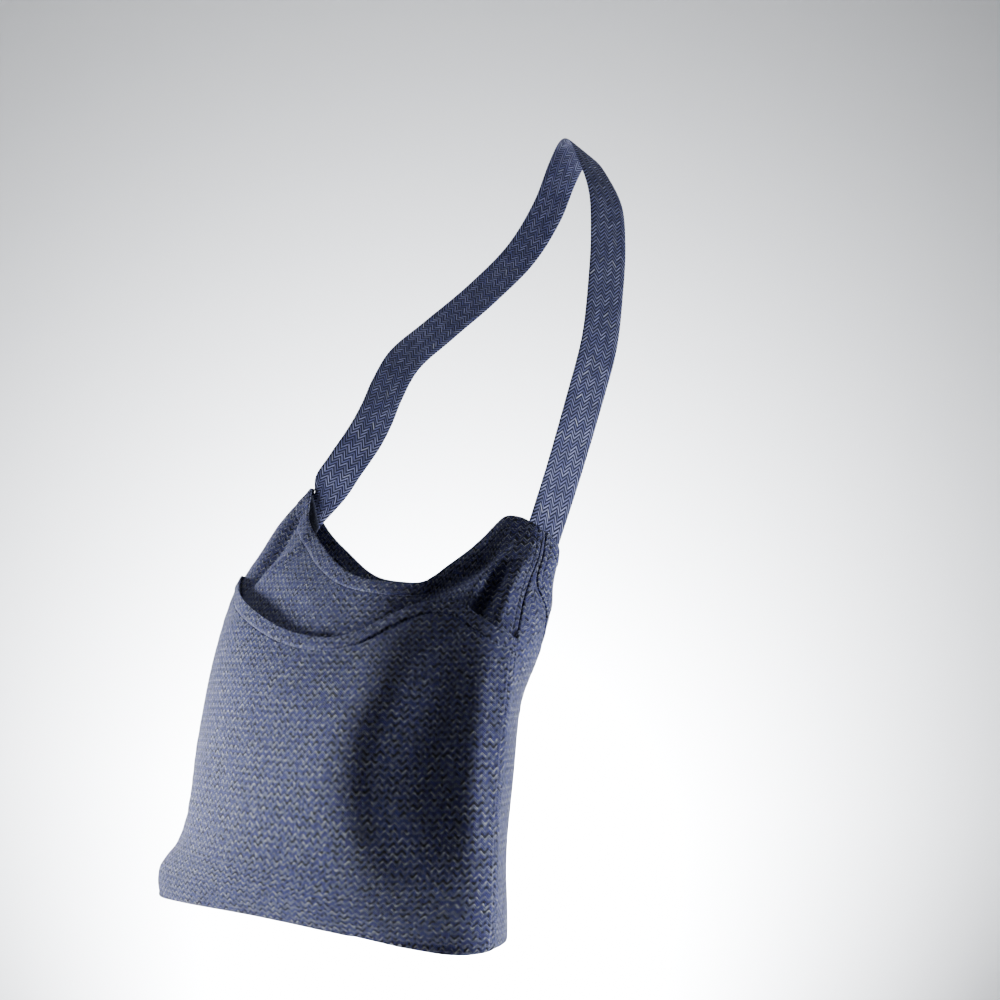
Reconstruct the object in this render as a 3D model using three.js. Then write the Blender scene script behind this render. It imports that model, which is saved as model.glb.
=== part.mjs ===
// A soft shoulder bag of woven cloth on a broad webbing strap, in the form that it takes when it is worn.
// Millimetres, +Z up: the front of the bag faces -Y and its width runs along X.
// The origin is where the strap rests on the shoulder, on the strap's underside.

import * as THREE from "three";

// The bag.
const bagWidth = 338;
const bagHeight = 420;
const gussetDepth = 75;
const frontSwell = 74;
const leanBack = 100;
const bottomSag = 10;
const gussetBelly = 5;
const seamStrip = 4;
const pocketGape = 9;
const gapeMiddle = -0.5;
const gapeSpread = 0.3;
const rearBand = 0.05;

// The cloth and the small gap that is left between two layers or across a seam.
const clothWall = 2.2;
const facingWall = 1.6;
const layerGap = 0.3;

// The strap.
const strapWidth = 40;
const strapWall = 2.2;
const strapTuck = 46;
const strapStart = { right: -0.33 * strapWidth, left: 0.12 * strapWidth };
const crownHeading = 30;
const crownDip = 38;
const facingDrop = 60;
const chestBow = 62;
const chestStand = 34;
const backStand = 90;
const backAside = 27;

// Where the shoulder lies, seen from the middle of the bag's lowest seam.
const shoulderRise = 820;
const shoulderAside = 90;
const shoulderBehind = 238;

// How finely the sheets are divided.
const columns = 32;
const pocketRows = 11;
const earRows = 8;
const gussetColumns = 4;
const bottomColumns = 5;
const strapColumns = 4;
const strapStep = 14;
const sewnShares = [0, 0.33, 0.67, 1];
const riseAboveEar = 0.03;
const facingBelowEar = 0.02;

// How a section runs into its middle and its seams, as shares of its width and its swell.
const levelShare = 0.55;
const leastSwell = 0.18;
const seamReach = 0.5;
const overhangPerDegree = 0.033;
const cornerMargin = 0.07;

// Horizontal sections of the bag, from the lowest seam to the top of the left ear.
// rise is a share of bagHeight, right and left are the side seams as shares of half of bagWidth,
// lean is a share of leanBack and swell a share of frontSwell. leftTurn and rightTurn are the angles,
// in degrees from X, at which the front arrives at its side seams.
const frontTable = {
  columns: ["rise", "right", "left", "lean", "swell", "leftTurn", "rightTurn"],
  rows: [
    [0.0, 0.9, -1.27, 0.13, 0.66, 58, 60],
    [0.07, 0.935, -1.235, 0.03, 0.78, 58, 60],
    [0.14, 0.95, -1.085, -0.04, 0.86, 57, 59],
    [0.24, 0.945, -1.035, -0.05, 0.93, 56, 58],
    [0.38, 0.92, -1.055, 0.07, 1.0, 55, 57],
    [0.5, 0.895, -1.09, 0.22, 0.99, 53, 55],
    [0.61, 0.865, -1.12, 0.39, 0.9, 50, 53],
    [0.7, 0.845, -1.135, 0.55, 0.78, 44, 54],
    [0.76, 0.855, -1.115, 0.64, 0.68, 38, 57],
    [0.83, 0.875, -1.055, 0.77, 0.55, 33, 60],
    [0.91, 0.85, -0.97, 0.88, 0.44, 30, 60],
    [1.0, 0.8, -0.8, 0.99, 0.36, 30, 60],
    [1.06, 0.77, -0.68, 1.06, 0.31, 30, 60],
  ],
};

// The gussets and the rear at the same heights. rightGusset and leftGusset are the gussets' depths and
// rightTuck and leftTuck how far they lean inwards, all as shares of gussetDepth. rearSwell is a share
// of frontSwell, and rightRear and leftRear are the angles at which the rear arrives at its seams.
const rearTable = {
  columns: [
    "rise",
    "rightGusset",
    "leftGusset",
    "rightTuck",
    "leftTuck",
    "rearSwell",
    "rightRear",
    "leftRear",
  ],
  rows: [
    [0.0, 1.0, 0.95, 0.33, 0.28, 0.1, 40, 40],
    [0.07, 1.0, 0.98, 0.38, 0.36, 0.16, 42, 42],
    [0.14, 1.02, 1.0, 0.41, 0.36, 0.2, 45, 44],
    [0.24, 1.02, 1.0, 0.39, 0.33, 0.24, 48, 46],
    [0.38, 0.98, 0.98, 0.34, 0.3, 0.26, 54, 48],
    [0.5, 0.88, 0.92, 0.26, 0.25, 0.27, 66, 52],
    [0.61, 0.68, 0.78, -0.01, 0.18, 0.28, 84, 56],
    [0.7, 0.34, 0.56, -0.16, 0.12, 0.32, 104, 60],
    [0.76, 0.05, 0.38, -0.06, 0.08, 0.38, 118, 64],
    [0.83, 0.0, 0.14, -0.03, 0.03, 0.42, 122, 66],
    [0.91, 0.0, 0.0, -0.03, 0.0, 0.42, 122, 66],
    [1.0, 0.0, 0.0, -0.03, 0.0, 0.42, 122, 66],
    [1.06, 0.0, 0.0, -0.03, 0.0, 0.42, 122, 66],
  ],
};

// Heights of the edges across the front and the rear, as shares of bagHeight. across runs from the left
// seam at -1 to the right seam at 1. seam is the bottom seam, pocket the pocket's mouth, rim the front
// of the bag's mouth and rear the back of it.
const edgeTable = {
  columns: ["across", "seam", "pocket", "rim", "rear"],
  rows: [
    [-1.0, 0.004, 0.765, 1.0, 1.0],
    [-0.8, 0.004, 0.735, 0.965, 0.973],
    [-0.57, 0.009, 0.694, 0.917, 0.916],
    [-0.35, 0.013, 0.653, 0.86, 0.845],
    [-0.14, 0.014, 0.618, 0.8, 0.777],
    [0.03, 0.01, 0.606, 0.755, 0.762],
    [0.15, 0.004, 0.62, 0.741, 0.762],
    [0.27, -0.003, 0.658, 0.739, 0.766],
    [0.35, -0.008, 0.68, 0.752, 0.772],
    [0.43, -0.013, 0.693, 0.806, 0.78],
    [0.51, -0.016, 0.695, 0.855, 0.79],
    [0.6, -0.019, 0.688, 0.902, 0.803],
    [0.68, -0.02, 0.671, 0.91, 0.816],
    [0.82, -0.017, 0.646, 0.9, 0.838],
    [1.0, -0.009, 0.625, 0.88, 0.88],
  ],
};

// The folds over the front. Each runs straight between two places, given by across and rise. height is how
// far it stands out of the cloth in mm, or in where it is negative, and reach how far it spreads sideways.
// The strap draws the ear folds, and the pocket lies over their lower ends. It follows the body folds.
const foldColumns = ["fromAcross", "fromRise", "toAcross", "toRise", "height", "reach"];
const earFolds = {
  columns: foldColumns,
  rows: [
    [-0.67, 0.92, -0.67, 0.76, -9, 14],
    [-0.46, 0.87, -0.56, 0.79, 3, 11],
    [0.62, 0.835, 0.49, 0.79, -6, 8],
    [0.66, 0.8, 0.63, 0.735, 4, 9],
    [0.72, 0.77, 0.72, 0.68, -9, 10],
  ],
};
const bodyFolds = {
  columns: foldColumns,
  rows: [
    [0.4, 0.6, 0.2, 0.26, 5, 30],
    [0.6, 0.57, 0.57, 0.22, -3.2, 22],
    [0.78, 0.58, 0.79, 0.3, 2.5, 15],
  ],
};

// The strap's two runs. climb is the share of the height between the ear and the shoulder. aside and
// forward are the bow away from a straight run, as shares of chestBow and chestStand in the front run
// and of backAside and backStand in the back run. heading and dip are the direction across the strap,
// from its neck side to its arm side, in degrees round from X and down.
const frontRun = {
  columns: ["climb", "aside", "forward", "heading", "dip"],
  rows: [
    [0.14, 0.33, 0.26, 57, 15],
    [0.3, 0.66, 0.5, 52, 14],
    [0.445, 0.89, 0.58, 48, 12],
    [0.58, 0.97, 0.7, 46, 10],
    [0.7, 1.0, 0.85, 44, 12],
    [0.81, 0.94, 1.0, 42, 18],
    [0.907, 0.66, 0.97, 38, 28],
    [0.976, 0.34, 0.62, 33, 36],
  ],
};
const backRun = {
  columns: ["climb", "aside", "forward", "heading", "dip"],
  rows: [
    [0.975, -0.72, -0.34, 26, 38],
    [0.894, -1.0, -0.67, 20, 36],
    [0.781, -1.17, -0.82, 15, 34],
    [0.649, -1.3, -0.66, 13, 32],
    [0.517, -1.33, -0.34, 14, 32],
    [0.413, -1.13, -0.04, 18, 32],
    [0.325, -0.62, 0.07, 24, 32],
    [0.252, -0.09, 0.13, 30, 32],
    [0.188, 0.22, 0.17, 36, 31],
    [0.113, 0.13, 0.12, 45, 28],
    [0.06, 0.03, 0.06, 52, 26],
  ],
};

// A row of a table at any value of its first column, on a smooth curve through the rows.
function rowAt(table, value) {
  const rows = table.rows;
  const at = THREE.MathUtils.clamp(value, rows[0][0], rows.at(-1)[0]);
  let low = 0;
  while (low < rows.length - 2 && rows[low + 1][0] < at) low += 1;
  const span = rows[low + 1][0] - rows[low][0];
  const t = (at - rows[low][0]) / span;
  const slope = (index, column) => {
    const before = rows[Math.max(index - 1, 0)];
    const after = rows[Math.min(index + 1, rows.length - 1)];
    return ((after[column] - before[column]) / (after[0] - before[0])) * span;
  };
  const found = {};
  table.columns.forEach((name, column) => {
    const [from, to] = [rows[low][column], rows[low + 1][column]];
    const [leaving, arriving] = [slope(low, column), slope(low + 1, column)];
    const cubic = 2 * (from - to) + leaving + arriving;
    const square = 3 * (to - from) - 2 * leaving - arriving;
    found[name] = ((cubic * t + square) * t + leaving) * t + from;
  });
  return found;
}

// The four vertical seams at one height: front and rear, left and right.
function seamsAt(rise) {
  const front = rowAt(frontTable, rise);
  const rear = rowAt(rearTable, rise);
  const z = rise * bagHeight;
  const y = front.lean * leanBack;
  const frontRight = new THREE.Vector3((front.right * bagWidth) / 2, y, z);
  const frontLeft = new THREE.Vector3((front.left * bagWidth) / 2, y, z);
  const rightDepth = seamStrip + Math.max(rear.rightGusset, 0) * (gussetDepth - seamStrip);
  const leftDepth = seamStrip + Math.max(rear.leftGusset, 0) * (gussetDepth - seamStrip);
  const rearRight = frontRight.clone().add(new THREE.Vector3(-rear.rightTuck * gussetDepth, rightDepth, 0));
  const rearLeft = frontLeft.clone().add(new THREE.Vector3(rear.leftTuck * gussetDepth, leftDepth, 0));
  return { front, rear, frontRight, frontLeft, rearRight, rearLeft };
}

// Half of a section: from its middle, where it runs level, to a seam that it meets at the given angle.
function halfSection(middle, seam, turn, outward, share) {
  const side = Math.sign(seam.x - middle.x);
  const width = Math.abs(seam.x - middle.x);
  const swell = Math.max(Math.abs(seam.y - middle.y), leastSwell * width);
  const angle = THREE.MathUtils.degToRad(turn);
  const overhang = seamReach + overhangPerDegree * Math.max(turn - 90, 0);
  const reach = (swell / Math.max(Math.sin(angle), 0.5)) * overhang;
  const leaving = middle.clone().add(new THREE.Vector3(side * width * levelShare, 0, 0));
  const arriving = seam.clone().sub(
    new THREE.Vector3(side * Math.cos(angle) * reach, -outward * Math.sin(angle) * reach, 0),
  );
  return new THREE.CubicBezierCurve3(middle, leaving, arriving, seam).getPoint(share);
}

// The front of the bag. across runs from -1 at the left seam to 1 at the right seam.
function frontAt(across, rise) {
  const { front, frontRight, frontLeft } = seamsAt(rise);
  const middle = frontLeft.clone().lerp(frontRight, 0.5);
  middle.y -= front.swell * frontSwell;
  return across > 0
    ? halfSection(middle, frontRight, front.rightTurn, -1, across)
    : halfSection(middle, frontLeft, front.leftTurn, -1, -across);
}

// The rear of the bag, across in the same direction.
function rearAt(across, rise) {
  const { rear, rearRight, rearLeft } = seamsAt(rise);
  const middle = rearLeft.clone().lerp(rearRight, 0.5);
  middle.y += rear.rearSwell * frontSwell;
  return across > 0
    ? halfSection(middle, rearRight, rear.rightRear, 1, across)
    : halfSection(middle, rearLeft, rear.leftRear, 1, -across);
}

// How far a table of folds moves the front's cloth out at one place.
function foldsAt(table, across, rise) {
  const place = (sideways, upwards) => new THREE.Vector2((sideways * bagWidth) / 2, upwards * bagHeight);
  const here = place(across, rise);
  let out = 0;
  for (const [fromAcross, fromRise, toAcross, toRise, height, reach] of table.rows) {
    const from = place(fromAcross, fromRise);
    const along = place(toAcross, toRise).sub(from);
    const share = THREE.MathUtils.clamp(here.clone().sub(from).dot(along) / along.lengthSq(), 0, 1);
    const away = from.addScaledVector(along, share).distanceTo(here);
    out += height * Math.exp(-((away / reach) ** 2));
  }
  return out;
}

// A gusset. back runs from 0 at its front seam to 1 at its rear seam, and side is 1 on the right.
function gussetAt(side, back, rise) {
  const seams = seamsAt(rise);
  const from = side > 0 ? seams.frontRight : seams.frontLeft;
  const to = side > 0 ? seams.rearRight : seams.rearLeft;
  const point = from.clone().lerp(to, back);
  point.x += side * gussetBelly * Math.sin(Math.PI * back) * (from.distanceTo(to) / gussetDepth);
  return point;
}

// The bottom, which sags between its seams. back runs from 0 at the front seam to 1 at the rear one.
function bottomAt(across, back) {
  const seam = rowAt(edgeTable, across).seam;
  const point = frontAt(across, seam).lerp(rearAt(across, seam), back);
  point.z -= bottomSag * Math.sin(Math.PI * back) * (1 - across ** 4);
  return point;
}

// The outward unit normal of a surface at two parameters, with a sign that makes it point out.
function normalAt(surface, a, b, sign) {
  const small = 1e-3;
  const alongA = surface(a + small, b).sub(surface(a - small, b));
  const alongB = surface(a, b + small).sub(surface(a, b - small));
  return alongA.cross(alongB).normalize().multiplyScalar(sign);
}
const insideOf = (value) => THREE.MathUtils.clamp(value, -0.998, 0.998);
const clearOfSeams = (value, from) => THREE.MathUtils.clamp(value, from + cornerMargin, 1 - cornerMargin);
const frontNormal = (across, rise) => normalAt(frontAt, insideOf(across), rise, 1);
const rearNormal = (across, rise) => normalAt(rearAt, insideOf(across), rise, -1);
const foldedFront = (across, rise) =>
  frontAt(across, rise).addScaledVector(frontNormal(across, rise), foldsAt(bodyFolds, across, rise));
const creasedFront = (across, rise) =>
  foldedFront(across, rise).addScaledVector(frontNormal(across, rise), foldsAt(earFolds, across, rise));
const foldedNormal = (across, rise) => normalAt(foldedFront, insideOf(across), rise, 1);
const creasedNormal = (across, rise) => normalAt(creasedFront, insideOf(across), rise, 1);
const bottomNormal = (across, back) =>
  normalAt(bottomAt, clearOfSeams(across, -1), clearOfSeams(back, 0), -1);
const gussetNormal = (side, back, rise) => normalAt((k, r) => gussetAt(side, k, r), back, rise, side);

// The offset that lies one wall inside each of two faces that meet, or inside one face alone.
function wallOffset(first, second, wall) {
  if (!second) return first.clone().multiplyScalar(wall);
  return first.clone().add(second).multiplyScalar(wall / (1 + first.dot(second)));
}

// The same where the wall also meets the bottom.
function cornerOffset(first, second, floor, wall) {
  const offset = wallOffset(first, second, wall);
  if (!floor) return offset;
  const reach = offset.length();
  const along = offset.divideScalar(reach);
  const lean = along.dot(floor);
  const share = (reach - lean * wall) / (1 - lean * lean);
  const drop = (wall - lean * reach) / (1 - lean * lean);
  return along.multiplyScalar(share).addScaledVector(floor, drop);
}

// A closed solid between two grids of points with the same rows and columns.
function sheetSolid(outer, inner) {
  const rows = outer.length;
  const width = outer[0].length;
  const points = [...outer.flat(), ...inner.flat()];
  const outerIndex = (row, column) => row * width + column;
  const innerIndex = (row, column) => rows * width + row * width + column;
  const faces = [];
  const quad = (a, b, c, d) => faces.push([a, b, c], [a, c, d]);
  for (let row = 0; row < rows - 1; row += 1) {
    for (let column = 0; column < width - 1; column += 1) {
      const [r, c] = [row + 1, column + 1];
      quad(outerIndex(row, column), outerIndex(row, c), outerIndex(r, c), outerIndex(r, column));
      quad(innerIndex(row, column), innerIndex(r, column), innerIndex(r, c), innerIndex(row, c));
    }
  }
  for (let column = 0; column < width - 1; column += 1) {
    const c = column + 1;
    const top = rows - 1;
    quad(outerIndex(0, c), outerIndex(0, column), innerIndex(0, column), innerIndex(0, c));
    quad(outerIndex(top, column), outerIndex(top, c), innerIndex(top, c), innerIndex(top, column));
  }
  for (let row = 0; row < rows - 1; row += 1) {
    const r = row + 1;
    const end = width - 1;
    quad(outerIndex(row, 0), outerIndex(r, 0), innerIndex(r, 0), innerIndex(row, 0));
    quad(outerIndex(r, end), outerIndex(row, end), innerIndex(row, end), innerIndex(r, end));
  }
  return closedGeometry(points, faces);
}

// A geometry from points and triangles, turned so that its faces point out.
function closedGeometry(points, faces) {
  let volume = 0;
  for (const [a, b, c] of faces) volume += points[a].dot(points[b].clone().cross(points[c]));
  const turned = volume > 0 ? faces : faces.map(([a, b, c]) => [a, c, b]);
  const geometry = new THREE.BufferGeometry().setFromPoints(points);
  geometry.setIndex(turned.flat());
  geometry.computeVertexNormals();
  return geometry;
}

// The heights of the rows of a sheet at one place across it: up to the belt line that the pocket's
// mouth sets, and from there to the top edge.
function rowHeights(seam, belt, top) {
  const heights = [];
  for (let row = 0; row <= pocketRows; row += 1) heights.push(seam + ((belt - seam) * row) / pocketRows);
  for (let row = 1; row <= earRows; row += 1) heights.push(belt + ((top - belt) * row) / earRows);
  return heights;
}

const sideHeights = (side) => {
  const edge = rowAt(edgeTable, side);
  return rowHeights(edge.seam, edge.pocket, edge.rim);
};

// A place across the bag, kept half a gap away from the side seams.
function acrossAt(column) {
  const seamShare = layerGap / bagWidth;
  const across = (2 * column) / columns - 1;
  return THREE.MathUtils.clamp(across, -1 + seamShare, 1 - seamShare);
}

// The front panel or the rear panel: its outer face lies on the surface, its inner face one wall in.
function panel(surface, normal, beltAt, topAt, bottomBack) {
  const outer = [];
  const inner = [];
  const rowCount = pocketRows + earRows + 1;
  for (let row = 0; row < rowCount; row += 1) {
    outer.push([]);
    inner.push([]);
    for (let column = 0; column <= columns; column += 1) {
      const across = acrossAt(column);
      const exact = (2 * column) / columns - 1;
      const seam = rowAt(edgeTable, exact).seam + (row === 0 ? layerGap / 2 / bagHeight : 0);
      const rise = rowHeights(seam, beltAt(exact), topAt(exact))[row];
      const side = Math.abs(exact) === 1 ? gussetNormal(exact, bottomBack, rise) : null;
      const floor = row === 0 ? bottomNormal(across, bottomBack) : null;
      const point = surface(across, rise);
      outer[row].push(point);
      inner[row].push(point.clone().sub(cornerOffset(normal(across, rise), side, floor, clothWall)));
    }
  }
  return sheetSolid(outer, inner);
}

const beltBetweenSides = (across) => {
  const left = rowAt(edgeTable, -1).pocket;
  const right = rowAt(edgeTable, 1).pocket;
  return THREE.MathUtils.lerp(left, right, (across + 1) / 2);
};

const frontPanel = () =>
  panel(
    creasedFront,
    creasedNormal,
    (across) => rowAt(edgeTable, across).pocket,
    (across) => rowAt(edgeTable, across).rim,
    0,
  );
const rearPanel = () =>
  panel(
    rearAt,
    rearNormal,
    (across) => Math.min(beltBetweenSides(across), rowAt(edgeTable, across).rear - rearBand),
    (across) => rowAt(edgeTable, across).rear,
    1,
  );

// A gusset narrows upwards to the thin strip of a bound seam, which runs on to the top of the ear.
function gusset(side) {
  const heights = sideHeights(side);
  const outer = [];
  const inner = [];
  heights.forEach((height, row) => {
    outer.push([]);
    inner.push([]);
    const rise = height + (row === 0 ? layerGap / 2 / bagHeight : 0);
    const seams = seamsAt(rise);
    const from = side > 0 ? seams.frontRight : seams.frontLeft;
    const to = side > 0 ? seams.rearRight : seams.rearLeft;
    const pull = layerGap / 2 / from.distanceTo(to);
    for (let column = 0; column <= gussetColumns; column += 1) {
      const back = THREE.MathUtils.clamp(column / gussetColumns, pull, 1 - pull);
      const own = gussetNormal(side, Math.round(back * gussetColumns) / gussetColumns, rise);
      const floor = row === 0 ? bottomNormal(side, back) : null;
      let beside = null;
      if (column === 0) beside = frontNormal(side, rise);
      if (column === gussetColumns) beside = rearNormal(side, rise);
      const point = gussetAt(side, back, rise);
      outer[row].push(point);
      inner[row].push(point.clone().sub(cornerOffset(own, beside, floor, clothWall)));
    }
  });
  return sheetSolid(outer, inner);
}

// The bottom panel joins the lower edges of the front, the gussets and the rear.
function bottomPanel() {
  const outer = [];
  const inner = [];
  for (let row = 0; row <= bottomColumns; row += 1) {
    outer.push([]);
    inner.push([]);
    for (let column = 0; column <= columns; column += 1) {
      const across = acrossAt(column);
      const exact = (2 * column) / columns - 1;
      const pull = layerGap / 2 / gussetDepth;
      const back = THREE.MathUtils.clamp(row / bottomColumns, pull, 1 - pull);
      const rise = rowAt(edgeTable, exact).seam;
      const floor = bottomNormal(across, back);
      const walls = [];
      if (row === 0) walls.push(frontNormal(across, rise));
      if (row === bottomColumns) walls.push(rearNormal(across, rise));
      if (Math.abs(exact) === 1) walls.push(gussetNormal(exact, back, rise));
      const offset = walls.length
        ? cornerOffset(walls[0], walls[1], floor, clothWall)
        : floor.clone().multiplyScalar(clothWall);
      const point = bottomAt(across, back);
      outer[row].push(point);
      inner[row].push(point.clone().sub(offset));
    }
  }
  return sheetSolid(outer, inner);
}

// The slip pocket lies on the front up to its curved mouth, which gapes a little on the left.
function frontPocket() {
  const outer = [];
  const inner = [];
  for (let row = 0; row <= pocketRows; row += 1) {
    outer.push([]);
    inner.push([]);
    for (let column = 0; column <= columns; column += 1) {
      const across = acrossAt(column);
      const edge = rowAt(edgeTable, (2 * column) / columns - 1);
      const rise = rowHeights(edge.seam, edge.pocket, edge.rim)[row];
      const nearMouth = (row / pocketRows) ** 4;
      const gape = pocketGape * nearMouth * Math.exp(-(((across - gapeMiddle) / gapeSpread) ** 2));
      const out = foldedNormal(across, rise);
      const point = foldedFront(across, rise).addScaledVector(out, layerGap + gape);
      inner[row].push(point);
      outer[row].push(point.clone().addScaledVector(out, clothWall));
    }
  }
  return sheetSolid(outer, inner);
}

// The place across a panel that lies a given distance from its side seam, measured round the section.
function acrossFromSeam(surface, side, rise, distance) {
  const step = 0.01;
  let across = side;
  let walked = 0;
  let here = surface(across, rise);
  while (walked < distance && Math.abs(across) > step) {
    across -= side * step;
    const next = surface(across, rise);
    walked += next.distanceTo(here);
    here = next;
  }
  return across + (side * Math.max(walked - distance, 0)) / (bagWidth / 2);
}

// A point in an ear: along is measured round the section from the side seam, towards the rear when it is
// positive, below is measured down from the ear's top edge, and depth inwards from the cloth's outer face.
function earPoint(side, along, below, depth) {
  const surface = along > 0 ? rearAt : frontAt;
  const normal = along > 0 ? rearNormal : frontNormal;
  const edge = along > 0 ? "rear" : "rim";
  const top = rowAt(edgeTable, side).rim;
  const guess = acrossFromSeam(surface, side, top, Math.abs(along));
  const rise = rowAt(edgeTable, guess)[edge] - below / bagHeight;
  const across = acrossFromSeam(surface, side, rise, Math.abs(along));
  return surface(across, rise).addScaledVector(normal(across, rise), -depth);
}

// One row of points across the strap where it is sewn into an ear. It lies in the ear's fold: across the
// seam on the right, and behind the seam on the left.
function sewnRow(side, below) {
  const start = side > 0 ? strapStart.right : strapStart.left;
  const depth = clothWall + layerGap + strapWall / 2;
  const from = earPoint(side, start, below, depth);
  const to = earPoint(side, start + strapWidth, below, depth);
  const row = [];
  for (let column = 0; column <= strapColumns; column += 1) {
    row.push(from.clone().lerp(to, column / strapColumns));
  }
  return row;
}

// One row of points across the strap where it runs free.
function freeRow(centre, heading, dip) {
  const round = THREE.MathUtils.degToRad(heading);
  const down = THREE.MathUtils.degToRad(dip);
  const across = new THREE.Vector3(
    Math.cos(round) * Math.cos(down),
    Math.sin(round) * Math.cos(down),
    -Math.sin(down),
  );
  const row = [];
  for (let column = 0; column <= strapColumns; column += 1) {
    row.push(centre.clone().addScaledVector(across, strapWidth * (column / strapColumns - 0.5)));
  }
  return row;
}

// The rows of one run of the strap, from an ear towards the shoulder.
function runRows(table, foot, shoulder, asideSize, forwardSize) {
  return table.rows.map(([climb, aside, forward, heading, dip]) => {
    const centre = foot.clone().lerp(shoulder, climb);
    centre.x += aside * asideSize;
    centre.y -= forward * forwardSize;
    return freeRow(centre, heading, dip);
  });
}

// Mean of a row of points.
function middleOf(row) {
  const sum = new THREE.Vector3();
  row.forEach((point) => sum.add(point));
  return sum.divideScalar(row.length);
}

// The strap's middle surface: sewn rows in both ears and a smooth band over the shoulder between them.
function strapGrid(shoulder) {
  const sewn = [...sewnShares.toReversed(), -riseAboveEar].map((share) => share * strapTuck);
  const rightSewn = sewn.map((below) => sewnRow(1, below));
  const leftSewn = sewn.map((below) => sewnRow(-1, below)).reverse();
  const rightFoot = middleOf(rightSewn.at(-2));
  const leftFoot = middleOf(leftSewn[1]);
  const stations = [
    rightSewn.at(-1),
    ...runRows(frontRun, rightFoot, shoulder, chestBow, chestStand),
    freeRow(shoulder, crownHeading, crownDip),
    ...runRows(backRun, leftFoot, shoulder, backAside, backStand),
    leftSewn[0],
  ];
  const edges = [];
  for (let column = 0; column <= strapColumns; column += 1) {
    edges.push(new THREE.CatmullRomCurve3(stations.map((row) => row[column]), false, "centripetal"));
  }
  const steps = Math.round(edges[strapColumns / 2].getLength() / strapStep);
  const free = [];
  for (let step = 1; step < steps; step += 1) {
    free.push(edges.map((edge) => edge.getPoint(step / steps)));
  }
  return [...rightSewn, ...free, ...leftSewn];
}

// A grid of points moved along its own normals.
function offsetGrid(grid, distance) {
  return grid.map((row, r) =>
    row.map((point, c) => {
      const before = grid[Math.max(r - 1, 0)][c];
      const after = grid[Math.min(r + 1, grid.length - 1)][c];
      const left = row[Math.max(c - 1, 0)];
      const right = row[Math.min(c + 1, row.length - 1)];
      const normal = right.clone().sub(left).cross(after.clone().sub(before)).normalize();
      return point.clone().addScaledVector(normal, distance);
    }),
  );
}

// A band of even thickness on both sides of a grid of points.
function bandSolid(grid, wall) {
  return sheetSolid(offsetGrid(grid, wall / 2), offsetGrid(grid, -wall / 2));
}

// The facing covers the strap's sewn end on the inner side of an ear.
function earFacing(side) {
  const grid = [];
  for (const share of sewnShares) {
    grid.push(sewnRow(side, Math.max(share, facingBelowEar) * strapTuck));
  }
  grid.push(sewnRow(side, facingDrop));
  const inward = (strapWall + facingWall) / 2 + layerGap;
  return bandSolid(offsetGrid(grid, inward * side), facingWall);
}

// Materials.
const cloth = { color: 0x2b3147, roughness: 0.95, metalness: 0 };
const webbing = { color: 0x3a4468, roughness: 0.8, metalness: 0 };

// The bag is drawn with its lowest seam at z = 0 and then hung below the shoulder.
const bag = new THREE.Group();
const shoulder = new THREE.Vector3(shoulderAside, shoulderBehind, shoulderRise);
const strapCrown = shoulder.clone().setZ(shoulderRise + strapWall / 2);
bag.position.copy(shoulder).negate();

function addPiece(name, geometry, finish) {
  const piece = new THREE.Mesh(geometry, new THREE.MeshStandardMaterial(finish));
  piece.name = name;
  bag.add(piece);
}

addPiece("front_panel", frontPanel(), cloth);
addPiece("rear_panel", rearPanel(), cloth);
addPiece("gusset_right", gusset(1), cloth);
addPiece("gusset_left", gusset(-1), cloth);
addPiece("bottom_panel", bottomPanel(), cloth);
addPiece("front_pocket", frontPocket(), cloth);
addPiece("ear_facing_right", earFacing(1), cloth);
addPiece("ear_facing_left", earFacing(-1), cloth);
addPiece("strap", bandSolid(strapGrid(strapCrown), strapWall), webbing);

const part = new THREE.Group();
part.add(bag);
export default part;
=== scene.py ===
# A soft shoulder bag of zigzag-woven cloth, in the form it has when it hangs by its webbing strap.
# Metres, +Z up, the front towards -Y. The origin is on the strap's underside at its highest point. The
# cloth is worked out in millimetres above the bag's lowest seam and then moved to that origin.

import bpy
import numpy as np
from mathutils import Matrix, Vector


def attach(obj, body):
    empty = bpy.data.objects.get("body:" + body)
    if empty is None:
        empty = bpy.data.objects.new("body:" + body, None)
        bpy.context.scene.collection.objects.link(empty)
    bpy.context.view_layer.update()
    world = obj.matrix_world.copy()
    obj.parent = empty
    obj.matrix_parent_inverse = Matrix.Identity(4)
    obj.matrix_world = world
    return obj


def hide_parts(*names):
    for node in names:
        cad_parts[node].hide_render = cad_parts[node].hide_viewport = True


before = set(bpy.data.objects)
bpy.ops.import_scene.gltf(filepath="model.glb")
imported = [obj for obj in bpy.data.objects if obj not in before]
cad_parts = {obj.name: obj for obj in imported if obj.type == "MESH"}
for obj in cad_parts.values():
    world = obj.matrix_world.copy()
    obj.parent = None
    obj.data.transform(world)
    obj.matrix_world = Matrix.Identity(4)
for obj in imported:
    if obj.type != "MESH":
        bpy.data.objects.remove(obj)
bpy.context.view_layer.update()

# The studio: a pale floor that curves up into a backdrop, with a low lamp that lights the curve. On the
# left a narrow light level with the bag's middle leaves the ears darker, on the right a strong one
# stands low, and a weak one hangs above. The camera looks up from the right.

VIEW_TURN, VIEW_LIFT, VIEW_ROLL = np.radians(27.0), np.radians(8.5), np.radians(3.0)
VIEW_DISTANCE = 1.2
SENSOR_WIDTH = 36.0
PICTURE_PIXELS, FOCAL_PIXELS = 1000, 1300
PIXELS_LEFT, PIXELS_BELOW = 150, 240  # from the picture's middle to the bag's

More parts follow.
